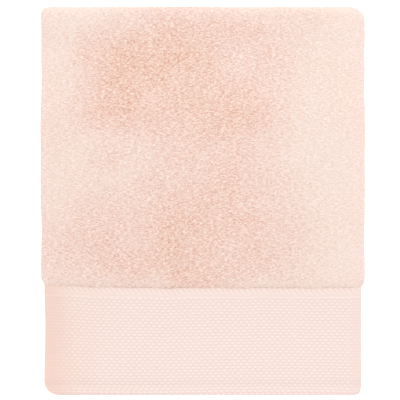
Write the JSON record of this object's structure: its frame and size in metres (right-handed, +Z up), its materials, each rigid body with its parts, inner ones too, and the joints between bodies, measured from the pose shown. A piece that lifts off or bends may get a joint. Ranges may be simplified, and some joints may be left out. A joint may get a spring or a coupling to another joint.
{
  "type": "folded bath towel",
  "caption": "Thick terry bath towel folded flat, half lengthwise and thirds crosswise, with a corded band, dotted flat-woven border and stitched hem.",
  "frame": {"origin": "middle of the folded pack in plan, on the surface it lies on", "axes": "+Z up; +Y from the hemmed end on top to the back fold; +X from the free long edges to the long fold"},
  "size_m": [0.38, 0.457, 0.0344],
  "materials": {
    "terry_pile": "matte",
    "woven_border": "matte",
    "corded_band": "matte",
    "hem_cloth": "matte",
    "sewing_thread": "satin"
  },
  "bodies": {
    "bottom_leaf": {"bottom_leaf_terry": "terry_pile", "bottom_leaf_side_hems": "hem_cloth", "bottom_leaf_side_stitching": "sewing_thread", "inner_end_corded_band": "corded_band", "inner_end_border": "woven_border", "inner_end_hem": "hem_cloth", "inner_end_hem_stitching": "sewing_thread", "front_fold": "terry_pile"},
    "middle_leaf": {"middle_leaf_terry": "terry_pile", "middle_leaf_side_hems": "hem_cloth", "middle_leaf_side_stitching": "sewing_thread", "back_fold": "terry_pile"},
    "top_leaf": {"top_leaf_terry": "terry_pile", "top_leaf_side_hems": "hem_cloth", "top_leaf_side_stitching": "sewing_thread", "outer_end_corded_band": "corded_band", "outer_end_border": "woven_border", "outer_end_hem": "hem_cloth", "outer_end_hem_stitching": "sewing_thread"}
  },
  "joints": [
    {"name": "front_fold_hinge", "type": "hinge", "parent": "bottom_leaf", "child": "middle_leaf", "pos_m": [0, -0.2131, 0.0114], "axis": [1, 0, 0], "range_deg": [0, 179.5]},
    {"name": "back_fold_hinge", "type": "hinge", "parent": "middle_leaf", "child": "top_leaf", "pos_m": [0, 0.2171, 0.023], "axis": [-1, 0, 0], "range_deg": [0, 179.5]}
  ]
}
